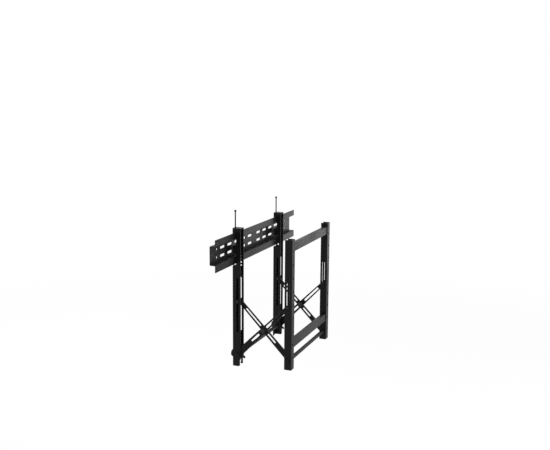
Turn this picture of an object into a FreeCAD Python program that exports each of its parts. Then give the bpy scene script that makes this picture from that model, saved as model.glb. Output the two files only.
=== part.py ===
"""Pop-out video wall mount: a slotted wall rail, two hooked brackets, scissor arms and a display frame.

Millimetres. The origin is the centre of the rail's slot pattern on the wall. +Z is up, the wall is the
plane Y = 0 and the room lies towards -Y. The mount is drawn popped out for service.
"""
import FreeCAD, Part
import math
import os
import Sketcher

DRIVING_SIZES = {
    # wall rail: a hat section, its web on the wall and its two lips facing the room
    "rail_length": 770,
    "rail_web_height": 70,
    "rail_depth": 23.5,
    "rail_upper_lip_height": 22.5,
    "rail_lower_lip_height": 24.5,
    "rail_sheet": 2.5,
    "rail_bend": 3,
    "rail_slot_length": 38,
    "rail_slot_width": 9.5,
    "rail_slot_pitch": 61,
    "rail_first_slot": 42,
    "rail_row_gap": 30,
    "rail_end_hole_from_end": 53,
    "rail_end_hole_radius": 4.9,
    "rail_mark_hole_from_end": 22,
    "rail_mark_hole_radius": 2.5,
    # hooked wall brackets
    "bracket_spacing": 400,
    "bracket_width": 30,
    "bracket_depth": 33,
    "bracket_sheet": 2.5,
    "bracket_bend": 2,
    "bracket_standoff": 8.5,
    "bracket_rise": 73,
    "bracket_drop": 458,
    "bracket_corner": 4,
    "bracket_foot_step": 3.5,
    "bracket_foot_height": 32,
    "lip_clearance": 0.3,
    "hook_overlap": 8,
    "lift_room": 9,
    "notch_room": 10.5,
    "tongue_rise": 6,
    "tongue_drop": 21.5,
    "column_hole_radius": 3.3,
    "column_drop": 70.4,
    "column_pitch": 11.8,
    "column_inset": 11,
    "roller_slot_drop": 325,
    # height screws
    "lift_screw_radius": 2.2,
    "lift_screw_length": 98,
    "lift_screw_from_lip": 7,
    "lift_head_radius": 4.2,
    "lift_head_length": 5,
    "lift_nut_across": 8,
    "lift_nut_length": 3.2,
    "running_gap": 0.05,
    # safety catch behind the rail's lower lip
    "catch_sheet": 3,
    "catch_overlap": 6,
    "catch_tail": 22,
    "catch_finger_width": 3.5,
    "catch_screw_radius": 2.5,
    # wall feet
    "foot_radius": 13.5,
    "foot_thickness": 4,
    "foot_pad_thickness": 2,
    "foot_stem_radius": 4,
    "foot_stem_through": 0.8,
    # scissor arms
    "arm_length": 290,
    "outer_arm_width": 28,
    "inner_arm_width": 22,
    "arm_tip_width": 16,
    "arm_window_width": 8,
    "arm_sheet": 5,
    "arm_offset": 7.5,
    "pivot_inset": 19,
    "pivot_drop": 412,
    "tube_radius": 7.5,
    "tube_wall": 2,
    "tube_overhang": 4,
    "bush_wall": 1.5,
    "bush_flange": 3,
    "mid_pin_radius": 6,
    "mid_head_radius": 9,
    "mid_head_thickness": 1.5,
    "washer_gap": 0.3,
    "roller_radius": 5.4,
    "roller_clearance": 0.3,
    "roller_flange": 2.2,
    "roller_flange_thickness": 2,
    "roller_pin_radius": 2.5,
    "slot_spare": 3,
    # display frame
    "closed_depth": 71,
    "pop_travel": 175,
    "display_centre_drop": 200,
    "display_channel_length": 490,
    "display_channel_depth": 28,
    "display_pivot_inset": 15,
    "hole_pattern_height": 400,
    "hole_pattern_step": 50,
    "display_hole_radius": 4.5,
    "crossbar_height": 30,
    "crossbar_depth": 16,
    "crossbar_sheet": 2,
    "crossbar_high_from_top": 30,
    "crossbar_low_from_foot": 95,
    "crossbar_screw_radius": 3,
    "crossbar_head_radius": 5,
    "crossbar_head_thickness": 1.8,
    # spring latches at the brackets' feet
    "latch_sheet": 5,
    "latch_pin_radius": 2,
    "latch_pin_head": 1.2,
    "latch_pivot_inset": 29.5,
    "latch_pivot_rise": 33.2,
    "latch_hub_radius": 4.5,
    "latch_knob_radius": 4.2,
    "latch_tail_drop": 21,
    "latch_tail_width": 6.4,
    "striker_radius": 2.5,
    "striker_inset": 23,
    "striker_rise": 26,
}

# as many slots as fit between the first one and the round end hole; the counts are not lengths
SLOT_RUN = (DRIVING_SIZES["rail_length"] / 2 - DRIVING_SIZES["rail_end_hole_from_end"]
            - DRIVING_SIZES["rail_end_hole_radius"] - DRIVING_SIZES["rail_slot_length"] / 2
            - DRIVING_SIZES["rail_first_slot"])
SLOTS_PER_SIDE = math.floor(SLOT_RUN / DRIVING_SIZES["rail_slot_pitch"]) + 1
COLUMN_HOLES = 5
ARM_WINDOWS = ((0.29, 0.42), (0.58, 0.85))
SIDES = {"left": -1, "right": 1}
X_AXIS = FreeCAD.Vector(1, 0, 0)
Y_AXIS = FreeCAD.Vector(0, 1, 0)
Z_AXIS = FreeCAD.Vector(0, 0, 1)


class Size:
    """A length together with the sheet formula that gives it, so geometry can be drawn and then bound."""

    def __init__(self, value, formula):
        self.value = value
        self.formula = formula

    def join(self, sign, other, value, swapped=False):
        first, second = (other, self) if swapped else (self, other)
        return Size(value, f"({first.formula} {sign} {second.formula})")

    def __add__(self, other):
        other = size(other)
        return self.join("+", other, self.value + other.value)

    def __radd__(self, other):
        return size(other) + self

    def __sub__(self, other):
        other = size(other)
        return self.join("-", other, self.value - other.value)

    def __rsub__(self, other):
        return size(other) - self

    def __mul__(self, other):
        other = size(other)
        return self.join("*", other, self.value * other.value)

    def __rmul__(self, other):
        return size(other) * self

    def __truediv__(self, other):
        other = size(other)
        return self.join("/", other, self.value / other.value)

    def __neg__(self):
        return Size(-self.value, f"(-1 * {self.formula})")


def size(value):
    """A plain number as a Size."""
    return value if isinstance(value, Size) else Size(float(value), f"({float(value)!r})")


def root(value):
    """The square root of a Size."""
    return Size(math.sqrt(value.value), f"sqrt({value.formula})")


doc = FreeCAD.newDocument("video_wall_mount")
sheet = doc.addObject("Spreadsheet::Sheet", "sizes")
for row, (alias, number) in enumerate(DRIVING_SIZES.items(), start=1):
    sheet.set(f"A{row}", alias)
    sheet.set(f"B{row}", str(number))
    sheet.setAlias(f"B{row}", alias)
doc.recompute()
S = {alias: Size(float(number), f"sizes.{alias}") for alias, number in DRIVING_SIZES.items()}
nodes = {}


# Drawing helpers

def keep(item, name):
    """Give a finished sub-part the name that its file takes."""
    item.Label = name
    nodes[name] = item
    return item


def place(item, x=0, y=0, z=0):
    """Bind an object's place to the sheet."""
    for letter, value in zip("xyz", (x, y, z)):
        item.setExpression(f"Placement.Base.{letter}", size(value).formula)


def new_body(name):
    return doc.addObject("PartDesign::Body", name)


def sketch_on(body, plane, offset=0):
    """A sketch on one of the body's own origin planes, moved along that plane's normal."""
    support = next(item for item in body.Origin.OriginFeatures if item.Role == plane)
    sketch = body.newObject("Sketcher::SketchObject", "outline")
    sketch.AttachmentSupport = [(support, "")]
    sketch.MapMode = "FlatFace"
    sketch.setExpression("AttachmentOffset.Base.z", size(offset).formula)
    return sketch


def bind(sketch, kind, *where, to):
    """Add a dimension to a sketch and tie it to the sheet."""
    index = sketch.addConstraint(Sketcher.Constraint(kind, *where, to.value))
    sketch.setExpression(f"Constraints[{index}]", to.formula)


def fix_point(sketch, geometry, point, x, y):
    bind(sketch, "DistanceX", geometry, point, to=size(x))
    bind(sketch, "DistanceY", geometry, point, to=size(y))


def polygon(sketch, corners):
    """A closed outline of straight lines, each corner tied to the sheet."""
    corners = [(size(x), size(y)) for x, y in corners]
    points = [FreeCAD.Vector(x.value, y.value, 0) for x, y in corners]
    first = sketch.GeometryCount
    for index, start in enumerate(points):
        sketch.addGeometry(Part.LineSegment(start, points[(index + 1) % len(points)]), False)
    for index, (x, y) in enumerate(corners):
        before = first + (index - 1) % len(corners)
        sketch.addConstraint(Sketcher.Constraint("Coincident", before, 2, first + index, 1))
        fix_point(sketch, first + index, 1, x, y)


def rectangle(sketch, left, right, low, high):
    polygon(sketch, [(left, low), (right, low), (right, high), (left, high)])


def circle(sketch, x, y, radius):
    x, y, radius = size(x), size(y), size(radius)
    centre = FreeCAD.Vector(x.value, y.value, 0)
    index = sketch.addGeometry(Part.Circle(centre, Z_AXIS, radius.value), False)
    fix_point(sketch, index, 3, x, y)
    bind(sketch, "Radius", index, to=radius)


def link_outline(sketch, start, start_radius, end, end_radius):
    """Two round ends joined by straight tangents: a slot, or a link that tapers."""
    ends = [(size(start[0]), size(start[1])), (size(end[0]), size(end[1]))]
    radii = [size(start_radius), size(end_radius)]
    centres = [FreeCAD.Vector(x.value, y.value, 0) for x, y in ends]
    along = centres[1] - centres[0]
    lean = math.acos((radii[0].value - radii[1].value) / along.Length)
    heading = math.atan2(along.y, along.x)

    def rim(which, side):
        angle = heading + side * lean
        spoke = FreeCAD.Vector(math.cos(angle), math.sin(angle), 0)
        return centres[which] + spoke * radii[which].value

    rims = {(which, side): rim(which, side) for which in (0, 1) for side in (-1, 1)}
    first_arc = Part.ArcOfCircle(Part.Circle(centres[0], Z_AXIS, radii[0].value),
                                 heading + lean, heading + 2 * math.pi - lean)
    second_arc = Part.ArcOfCircle(Part.Circle(centres[1], Z_AXIS, radii[1].value),
                                  heading - lean, heading + lean)
    a = sketch.addGeometry(first_arc, False)
    b = sketch.addGeometry(Part.LineSegment(rims[0, -1], rims[1, -1]), False)
    c = sketch.addGeometry(second_arc, False)
    d = sketch.addGeometry(Part.LineSegment(rims[1, 1], rims[0, 1]), False)
    for before, after in ((a, b), (b, c), (c, d), (d, a)):
        sketch.addConstraint(Sketcher.Constraint("Tangent", before, 2, after, 1))
    for arc, centre, radius in ((a, ends[0], radii[0]), (c, ends[1], radii[1])):
        fix_point(sketch, arc, 3, *centre)
        bind(sketch, "Radius", arc, to=radius)


def pad(body, sketch, length, symmetric=False):
    feature = body.newObject("PartDesign::Pad", "pad")
    feature.Profile = sketch
    feature.SideType = "Symmetric" if symmetric else "One side"
    feature.setExpression("Length", size(length).formula)
    return feature


def cut_through(body, sketch, length):
    """Pocket a sketch both ways from its plane, and make sure that it took something away."""
    doc.recompute()
    before = body.Shape.Volume
    feature = body.newObject("PartDesign::Pocket", "cut")
    feature.Profile = sketch
    feature.SideType = "Symmetric"
    feature.setExpression("Length", size(length).formula)
    doc.recompute()
    if body.Shape.Volume >= before:
        raise RuntimeError(f"a cut in {body.Name} takes nothing away")
    return feature


def round_edges(body, radius, wanted):
    """Fillet the edges of the body's last feature that the test picks."""
    doc.recompute()
    base = body.Tip
    names = [f"Edge{index}" for index, edge in enumerate(base.Shape.Edges, start=1) if wanted(edge)]
    feature = body.newObject("PartDesign::Fillet", "bend")
    feature.Base = (base, names)
    feature.setExpression("Radius", size(radius).formula)
    doc.recompute()
    return feature


def runs_along(edge, axis):
    if edge.Curve.TypeId != "Part::GeomLine":
        return False
    return abs(edge.tangentAt(edge.FirstParameter).dot(axis)) > 0.999


def at(value, target):
    return abs(value - target.value) < 0.01


def cylinder(name, radius, length, axis, x=0, y=0, z=0):
    """A round bar that starts at x, y, z and runs along an axis."""
    item = doc.addObject("Part::Cylinder", name)
    item.setExpression("Radius", size(radius).formula)
    item.setExpression("Height", size(length).formula)
    item.Placement = FreeCAD.Placement(FreeCAD.Vector(), FreeCAD.Rotation(Z_AXIS, axis))
    place(item, x, y, z)
    return item


def hexagon(name, across_flats, length, axis, x=0, y=0, z=0):
    """A six-sided bar, such as a nut's body."""
    item = doc.addObject("Part::Prism", name)
    item.Polygon = 6
    item.setExpression("Circumradius", (size(across_flats) / math.sqrt(3)).formula)
    item.setExpression("Height", size(length).formula)
    item.Placement = FreeCAD.Placement(FreeCAD.Vector(), FreeCAD.Rotation(Z_AXIS, axis))
    place(item, x, y, z)
    return item


def fuse(name, pieces):
    item = doc.addObject("Part::MultiFuse", name)
    item.Shapes = pieces
    item.Refine = True
    return item


def cut(name, base, tool):
    item = doc.addObject("Part::Cut", name)
    item.Base = base
    item.Tool = tool
    return item


def group(name, pieces):
    """Like pieces that share one name, each still its own solid."""
    item = doc.addObject("Part::Compound", name)
    item.Links = pieces
    return keep(item, name)


# Places that several pieces share

half_row = S["rail_row_gap"] / 2
web_half = S["rail_web_height"] / 2
lip_top = web_half + S["rail_upper_lip_height"]
lip_low = -web_half - S["rail_lower_lip_height"]
lip_front = -S["rail_depth"]
lip_back = lip_front + S["rail_sheet"]
bracket_x = S["bracket_spacing"] / 2
bracket_half = S["bracket_width"] / 2
bracket_rear = -S["bracket_standoff"]
bracket_front = bracket_rear - S["bracket_depth"]
web_inside = bracket_rear - S["bracket_sheet"]
wall_inside = bracket_half - S["bracket_sheet"]
top_tab_under = S["bracket_rise"] - S["bracket_sheet"]
pivot_y = bracket_rear - S["pivot_inset"]
pivot_z = -S["pivot_drop"]
display_back = -(S["closed_depth"] + S["pop_travel"])
display_pivot_y = display_back + S["display_pivot_inset"]
reach_open = pivot_y - display_pivot_y
reach_closed = reach_open - S["pop_travel"]
rise_open = root(S["arm_length"] * S["arm_length"] - reach_open * reach_open)
rise_closed = root(S["arm_length"] * S["arm_length"] - reach_closed * reach_closed)
slot_half = S["roller_radius"] + S["roller_clearance"]
bush_radius = S["tube_radius"] + S["running_gap"] + S["bush_wall"]
display_channel_top = -S["display_centre_drop"] + S["display_channel_length"] / 2
display_channel_low = -S["display_centre_drop"] - S["display_channel_length"] / 2
display_channel_rear = display_back + S["display_channel_depth"]
display_web_inside = display_back + S["bracket_sheet"]
lift_screw_y = lip_back + S["lift_screw_from_lip"]
latch_y = bracket_rear - S["latch_pivot_inset"]
latch_z = -S["bracket_drop"] + S["latch_pivot_rise"]
striker_y = display_back + S["striker_inset"]
striker_z = -S["bracket_drop"] + S["striker_rise"]
crossbar_high_z = display_channel_top - S["crossbar_high_from_top"]
crossbar_low_z = display_channel_low + S["crossbar_low_from_foot"]


# Wall rail: one folded sheet with two rows of slots for the wall screws

def make_wall_rail():
    body = new_body("wall_rail_body")
    section = sketch_on(body, "YZ_Plane")
    sheet_in = S["rail_sheet"]
    inner = web_half - sheet_in
    polygon(section, [
        (0, -web_half), (0, web_half), (lip_back, web_half), (lip_back, lip_top), (lip_front, lip_top),
        (lip_front, inner), (-sheet_in, inner), (-sheet_in, -inner), (lip_front, -inner),
        (lip_front, lip_low), (lip_back, lip_low), (lip_back, -web_half),
    ])
    pad(body, section, S["rail_length"], symmetric=True)

    def outer_bend(edge):
        middle = edge.CenterOfMass
        on_web = at(middle.y, size(0)) and at(abs(middle.z), web_half)
        on_lip = at(middle.y, lip_front) and at(abs(middle.z), inner)
        return runs_along(edge, X_AXIS) and (on_web or on_lip)

    def inner_bend(edge):
        middle = edge.CenterOfMass
        in_web = at(middle.y, -sheet_in) and at(abs(middle.z), inner)
        behind_lip = at(middle.y, lip_back) and at(abs(middle.z), web_half)
        return runs_along(edge, X_AXIS) and (in_web or behind_lip)

    round_edges(body, S["rail_bend"], outer_bend)
    round_edges(body, S["rail_bend"] - sheet_in, inner_bend)

    slots = sketch_on(body, "XZ_Plane")
    for side in (-1, 1):
        for row in (-1, 1):
            for number in range(SLOTS_PER_SIDE):
                centre = S["rail_first_slot"] + S["rail_slot_pitch"] * number
                reach = (S["rail_slot_length"] - S["rail_slot_width"]) / 2
                link_outline(slots, (side * centre - reach, row * half_row), S["rail_slot_width"] / 2,
                             (side * centre + reach, row * half_row), S["rail_slot_width"] / 2)
    cut_through(body, slots, S["rail_depth"])
    end_holes = sketch_on(body, "XZ_Plane")
    for side in (-1, 1):
        for row in (-1, 1):
            for inset, radius in (("rail_end_hole_from_end", "rail_end_hole_radius"),
                                  ("rail_mark_hole_from_end", "rail_mark_hole_radius")):
                circle(end_holes, side * (S["rail_length"] / 2 - S[inset]), row * half_row, S[radius])
    cut_through(body, end_holes, S["rail_depth"])
    keep(body, "wall_rail")


# Wall bracket: a channel open to the room, hooked behind the rail's upper lip

def make_bracket(name, side):
    body = new_body(name + "_body")
    section = sketch_on(body, "XY_Plane", -S["bracket_drop"])
    polygon(section, [
        (-bracket_half, bracket_rear), (bracket_half, bracket_rear), (bracket_half, bracket_front),
        (wall_inside, bracket_front), (wall_inside, web_inside), (-wall_inside, web_inside),
        (-wall_inside, bracket_front), (-bracket_half, bracket_front),
    ])
    pad(body, section, S["bracket_drop"] + S["bracket_rise"])

    def rear_bend(edge):
        middle = edge.CenterOfMass
        return runs_along(edge, Z_AXIS) and at(middle.y, bracket_rear) and at(abs(middle.x), bracket_half)

    round_edges(body, S["bracket_bend"], rear_bend)
    lid = sketch_on(body, "XY_Plane", top_tab_under)
    rectangle(lid, -wall_inside, wall_inside, bracket_front, web_inside)
    pad(body, lid, S["bracket_sheet"])

    column = sketch_on(body, "YZ_Plane", -side * bracket_half)
    for number in range(COLUMN_HOLES):
        circle(column, bracket_front + S["column_inset"], -S["column_drop"] + S["column_pitch"] * number,
               S["column_hole_radius"])
    cut_through(body, column, S["bracket_sheet"] * 2)

    upper_notch = sketch_on(body, "YZ_Plane")
    gap = S["lip_clearance"]
    behind = size(0)
    hook_tip = lip_top - S["hook_overlap"]
    seat = lip_top + S["lift_room"]
    polygon(upper_notch, [
        (behind, S["tongue_rise"]), (lip_front - gap, S["tongue_rise"]), (lip_front - gap, seat),
        (lip_back + gap, seat), (lip_back + gap, hook_tip), (behind, hook_tip),
    ])
    cut_through(body, upper_notch, S["bracket_width"])
    lower_notch = sketch_on(body, "YZ_Plane")
    rectangle(lower_notch, lip_front - gap, behind, lip_low - S["notch_room"], -S["tongue_drop"])
    cut_through(body, lower_notch, S["bracket_width"])

    sides = sketch_on(body, "YZ_Plane")
    slot_top = pivot_z + rise_closed + S["slot_spare"]
    link_outline(sides, (pivot_y, -S["roller_slot_drop"] + slot_half), slot_half,
                 (pivot_y, slot_top), slot_half)
    circle(sides, pivot_y, pivot_z, bush_radius)
    cut_through(body, sides, S["bracket_width"])
    pin_hole = sketch_on(body, "YZ_Plane", side * bracket_half)
    circle(pin_hole, latch_y, latch_z, S["latch_pin_radius"])
    cut_through(body, pin_hole, S["bracket_sheet"] * 2)

    # the foot is stepped back for the latch, and its inner side wall stops above it
    foot_top = -S["bracket_drop"] + S["bracket_foot_height"]
    foot_front = bracket_front + S["bracket_foot_step"]
    corner = S["bracket_corner"]
    step = sketch_on(body, "YZ_Plane")
    polygon(step, [
        (bracket_front, -S["bracket_drop"]), (foot_front + corner, -S["bracket_drop"]),
        (foot_front, -S["bracket_drop"] + corner), (foot_front, foot_top - S["bracket_foot_step"] * 2),
        (bracket_front, foot_top - S["bracket_foot_step"]),
    ])
    cut_through(body, step, S["bracket_width"])
    inner_foot = sketch_on(body, "YZ_Plane", -side * bracket_half)
    rectangle(inner_foot, bracket_front, web_inside - S["bracket_sheet"], -S["bracket_drop"], foot_top)
    cut_through(body, inner_foot, S["bracket_sheet"] * 2)

    relief = sketch_on(body, "XZ_Plane", -web_inside)
    relief_half = S["lift_nut_across"] / math.sqrt(3) + S["lip_clearance"]
    rectangle(relief, -relief_half, relief_half, hook_tip, top_tab_under)
    cut_through(body, relief, S["bracket_sheet"] * 2)

    holes = sketch_on(body, "XY_Plane", top_tab_under)
    circle(holes, 0, lift_screw_y, S["lift_screw_radius"] + S["running_gap"])
    cut_through(body, holes, S["bracket_sheet"] * 2)
    stem_hole = sketch_on(body, "XZ_Plane", -web_inside)
    circle(stem_hole, 0, pivot_z, S["foot_stem_radius"] + S["running_gap"])
    cut_through(body, stem_hole, S["bracket_sheet"] * 2)
    place(body, x=side * bracket_x)
    keep(body, name)


# Height screws: they stand on the rail's upper flange and lift the bracket

def make_height_screw(name, side):
    x = side * bracket_x
    foot = web_half + S["lip_clearance"]
    shank = cylinder(name + "_shank", S["lift_screw_radius"], S["lift_screw_length"], Z_AXIS,
                     x, lift_screw_y, foot)
    head = cylinder(name + "_head", S["lift_head_radius"], S["lift_head_length"], Z_AXIS,
                    x, lift_screw_y, foot + S["lift_screw_length"])
    socket = hexagon(name + "_socket", S["lift_head_radius"], S["lift_head_length"] / 2, Z_AXIS,
                     x, lift_screw_y, foot + S["lift_screw_length"] + S["lift_head_length"] / 2)
    keep(cut(name + "_turned", fuse(name + "_blank", [shank, head]), socket), name)


def make_lift_nuts():
    nuts = []
    for label, side in SIDES.items():
        x = side * bracket_x
        low = top_tab_under - S["lift_nut_length"]
        block = hexagon("lift_nut_" + label, S["lift_nut_across"], S["lift_nut_length"], Z_AXIS,
                        x, lift_screw_y, low)
        bore = cylinder("lift_bore_" + label, S["lift_screw_radius"] + S["running_gap"],
                        S["lift_nut_length"], Z_AXIS, x, lift_screw_y, low)
        nuts.append(cut("lift_nut_bored_" + label, block, bore))
    group("lift_nuts", nuts)


# Safety catch: a plate screwed to the bracket's web, with one finger up behind the rail's lower lip

def make_rail_catch(name, side):
    body = new_body(name + "_body")
    section = sketch_on(body, "YZ_Plane")
    notch_low = lip_low - S["notch_room"]
    catch_top = lip_low + S["catch_overlap"]
    tail_low = notch_low - S["catch_tail"]
    tail_front = web_inside - S["catch_sheet"]
    hook_front = lip_back + S["lip_clearance"]
    polygon(section, [
        (web_inside, tail_low), (web_inside, catch_top), (hook_front, catch_top),
        (hook_front, catch_top - S["catch_sheet"]), (tail_front, catch_top - S["catch_sheet"]),
        (tail_front, tail_low),
    ])
    half = wall_inside - S["lip_clearance"]
    pad(body, section, half * 2, symmetric=True)
    beside_finger = sketch_on(body, "XZ_Plane")
    finger_edge = side * (half - S["catch_finger_width"])
    rectangle(beside_finger, finger_edge, -side * half, notch_low, catch_top)
    cut_through(body, beside_finger, S["rail_depth"] * 2)
    bore = sketch_on(body, "XZ_Plane", -web_inside)
    circle(bore, 0, notch_low - S["catch_tail"] / 2, S["catch_screw_radius"])
    cut_through(body, bore, S["catch_sheet"] * 3)
    place(body, x=side * bracket_x)
    keep(body, name)


def make_catch_screws():
    screws = []
    z = lip_low - S["notch_room"] - S["catch_tail"] / 2
    for label, side in SIDES.items():
        x = side * bracket_x
        head_y = web_inside - S["catch_sheet"]
        shank = cylinder("catch_shank_" + label, S["catch_screw_radius"], S["catch_sheet"], Y_AXIS,
                         x, head_y, z)
        head = cylinder("catch_head_" + label, S["catch_screw_radius"] * 1.9, S["catch_screw_radius"],
                        Y_AXIS, x, head_y - S["catch_screw_radius"], z)
        screws.append(fuse("catch_screw_" + label, [shank, head]))
    group("catch_screws", screws)


# Wall feet: round discs on threaded stems that hold the brackets' lower ends off the wall

def make_foot(name, pad_name, side):
    x = side * bracket_x
    pad_back = -S["foot_pad_thickness"]
    disc_front = pad_back - S["foot_thickness"]
    stem_end = web_inside - S["foot_stem_through"]
    disc = cylinder(name + "_disc", S["foot_radius"], S["foot_thickness"], Y_AXIS, x, disc_front, pivot_z)
    stem = cylinder(name + "_stem", S["foot_stem_radius"], disc_front - stem_end, Y_AXIS,
                    x, stem_end, pivot_z)
    keep(fuse(name + "_turned", [disc, stem]), name)
    rubber = cylinder(pad_name, S["foot_radius"] - 1, S["foot_pad_thickness"], Y_AXIS,
                      x, pad_back, pivot_z)
    keep(rubber, pad_name)


# Torque tubes, their bushes and the scissor arms

def make_torque_tube(name, y):
    length = S["bracket_spacing"] + S["bracket_width"] + S["tube_overhang"] * 2
    start = -length / 2
    outer = cylinder(name + "_outer", S["tube_radius"], length, X_AXIS, start, y, pivot_z)
    inner = cylinder(name + "_inner", S["tube_radius"] - S["tube_wall"], length, X_AXIS, start, y, pivot_z)
    keep(cut(name + "_drawn", outer, inner), name)


def make_bushes(name, y):
    """Flanged bushes in both side walls of both channels, flange outside."""
    bushes = []
    for label, side in SIDES.items():
        for face in (-1, 1):
            wall_x = side * bracket_x + face * bracket_half
            start = wall_x - S["bracket_sheet"] if face > 0 else wall_x
            flange_start = wall_x if face > 0 else wall_x - S["bush_wall"]
            title = f"{name}_{label}_{'out' if face > 0 else 'in'}"
            sleeve = cylinder(title + "_sleeve", bush_radius, S["bracket_sheet"], X_AXIS, start, y, pivot_z)
            flange = cylinder(title + "_flange", bush_radius + S["bush_flange"], S["bush_wall"], X_AXIS,
                              flange_start, y, pivot_z)
            bore_start = start if face > 0 else flange_start
            bore = cylinder(title + "_bore", S["tube_radius"] + S["running_gap"],
                            S["bracket_sheet"] + S["bush_wall"], X_AXIS, bore_start, y, pivot_z)
            bushes.append(cut(title, fuse(title + "_blank", [sleeve, flange]), bore))
    group(name, bushes)


def make_arm(name, side, y, width, lean_sign, offset):
    """A flat steel link: hub on a torque tube, a hole at its middle and a roller pin at its tip."""
    body = new_body(name + "_body")
    outline = sketch_on(body, "YZ_Plane")
    link_outline(outline, (0, 0), width / 2, (0, S["arm_length"]), S["arm_tip_width"] / 2)
    pad(body, outline, S["arm_sheet"], symmetric=True)
    holes = sketch_on(body, "YZ_Plane")
    circle(holes, 0, 0, S["tube_radius"])
    mid_bore = S["mid_pin_radius"] + (S["running_gap"] if lean_sign < 0 else size(0))
    circle(holes, 0, S["arm_length"] / 2, mid_bore)
    circle(holes, 0, S["arm_length"], S["roller_pin_radius"])
    for share_low, share_high in ARM_WINDOWS:
        link_outline(holes, (0, S["arm_length"] * share_low), S["arm_window_width"] / 2,
                     (0, S["arm_length"] * share_high), S["arm_window_width"] / 2)
    cut_through(body, holes, S["arm_sheet"] * 2)
    x = side * (bracket_x + offset)
    body.Placement = FreeCAD.Placement(FreeCAD.Vector(), FreeCAD.Rotation(X_AXIS, 1))
    place(body, x, y, pivot_z)
    lean = f"{lean_sign} * asin({reach_open.formula} / {S['arm_length'].formula})"
    body.setExpression("Placement.Rotation.Angle", lean)
    keep(body, name)


def make_mid_pins():
    """Shouldered pins through both arms, and the spacer tubes that keep the arms apart."""
    y = (pivot_y + display_pivot_y) / 2
    z = pivot_z + rise_open / 2
    plate_out = S["arm_offset"] + S["arm_sheet"] / 2
    plate_in = S["arm_offset"] - S["arm_sheet"] / 2
    pins = []
    spacers = []
    for label, side in SIDES.items():
        x = side * bracket_x
        half = plate_out + S["washer_gap"]
        shank = cylinder("mid_shank_" + label, S["mid_pin_radius"], half * 2, X_AXIS, x - half, y, z)
        heads = []
        for face in (-1, 1):
            start = x + half if face > 0 else x - half - S["mid_head_thickness"]
            heads.append(cylinder(f"mid_head_{label}_{face + 1}", S["mid_head_radius"],
                                  S["mid_head_thickness"], X_AXIS, start, y, z))
        pins.append(fuse("mid_pin_" + label, [shank] + heads))
        spacer_half = plate_in - S["washer_gap"]
        tube = cylinder("spacer_outer_" + label, S["mid_head_radius"], spacer_half * 2, X_AXIS,
                        x - spacer_half, y, z)
        bore = cylinder("spacer_bore_" + label, S["mid_pin_radius"], spacer_half * 2, X_AXIS,
                        x - spacer_half, y, z)
        spacers.append(cut("spacer_" + label, tube, bore))
    group("mid_pins", pins)
    group("mid_spacers", spacers)


def make_roller_set(pin_name, roller_name, y):
    """A pin through the arm tips with a flanged roller in the slot of each side wall."""
    z = pivot_z + rise_open
    pins = []
    rollers = []
    inner_end = wall_inside - S["slot_spare"] / 2
    tread_end = bracket_half + S["roller_clearance"]
    pin_half = tread_end + S["roller_flange_thickness"]
    for label, side in SIDES.items():
        x = side * bracket_x
        pins.append(cylinder(f"{pin_name}_{label}", S["roller_pin_radius"], pin_half * 2, X_AXIS,
                             x - pin_half, y, z))
        for face in (-1, 1):
            title = f"{roller_name}_{label}_{'out' if face > 0 else 'in'}"
            tread_start = x + inner_end if face > 0 else x - tread_end
            flange_start = x + tread_end if face > 0 else x - pin_half
            tread = cylinder(title + "_tread", S["roller_radius"], tread_end - inner_end, X_AXIS,
                             tread_start, y, z)
            flange = cylinder(title + "_flange", S["roller_radius"] + S["roller_flange"],
                              S["roller_flange_thickness"], X_AXIS, flange_start, y, z)
            bore_start = tread_start if face > 0 else flange_start
            bore = cylinder(title + "_bore", S["roller_pin_radius"], pin_half - inner_end, X_AXIS,
                            bore_start, y, z)
            rollers.append(cut(title, fuse(title + "_blank", [tread, flange]), bore))
    group(pin_name, pins)
    group(roller_name, rollers)


# Display frame: two channels with the screen's bolt holes, tied by two cross-bars

def make_display_channel(name, side):
    body = new_body(name + "_body")
    section = sketch_on(body, "XY_Plane", display_channel_low)
    polygon(section, [
        (-bracket_half, display_channel_rear), (-bracket_half, display_back),
        (bracket_half, display_back), (bracket_half, display_channel_rear),
        (wall_inside, display_channel_rear), (wall_inside, display_web_inside),
        (-wall_inside, display_web_inside), (-wall_inside, display_channel_rear),
    ])
    pad(body, section, S["display_channel_length"])

    def front_bend(edge):
        middle = edge.CenterOfMass
        return runs_along(edge, Z_AXIS) and at(middle.y, display_back) and at(abs(middle.x), bracket_half)

    round_edges(body, S["bracket_bend"], front_bend)
    sides = sketch_on(body, "YZ_Plane")
    link_outline(sides, (display_pivot_y, pivot_z + rise_open - S["slot_spare"]), slot_half,
                 (display_pivot_y, pivot_z + rise_closed + S["slot_spare"]), slot_half)
    circle(sides, display_pivot_y, pivot_z, bush_radius)
    circle(sides, striker_y, striker_z, S["striker_radius"])
    cut_through(body, sides, S["bracket_width"])

    face_holes = sketch_on(body, "XZ_Plane", -display_web_inside)
    holes_each_way = round(S["hole_pattern_height"].value / 2 / S["hole_pattern_step"].value)
    for number in range(-holes_each_way, holes_each_way + 1):
        z = -S["display_centre_drop"] + S["hole_pattern_height"] / 2 / holes_each_way * number
        circle(face_holes, 0, z, S["display_hole_radius"])
    cut_through(body, face_holes, S["bracket_sheet"] * 2)

    inboard = sketch_on(body, "YZ_Plane", -side * bracket_half)
    for z in (crossbar_high_z, crossbar_low_z):
        for shift in (-1, 1):
            circle(inboard, display_web_inside + S["crossbar_depth"] / 2,
                   z + S["crossbar_height"] / 4 * shift, S["crossbar_screw_radius"])
    cut_through(body, inboard, S["bracket_sheet"] * 2)
    place(body, x=side * bracket_x)
    keep(body, name)


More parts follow.
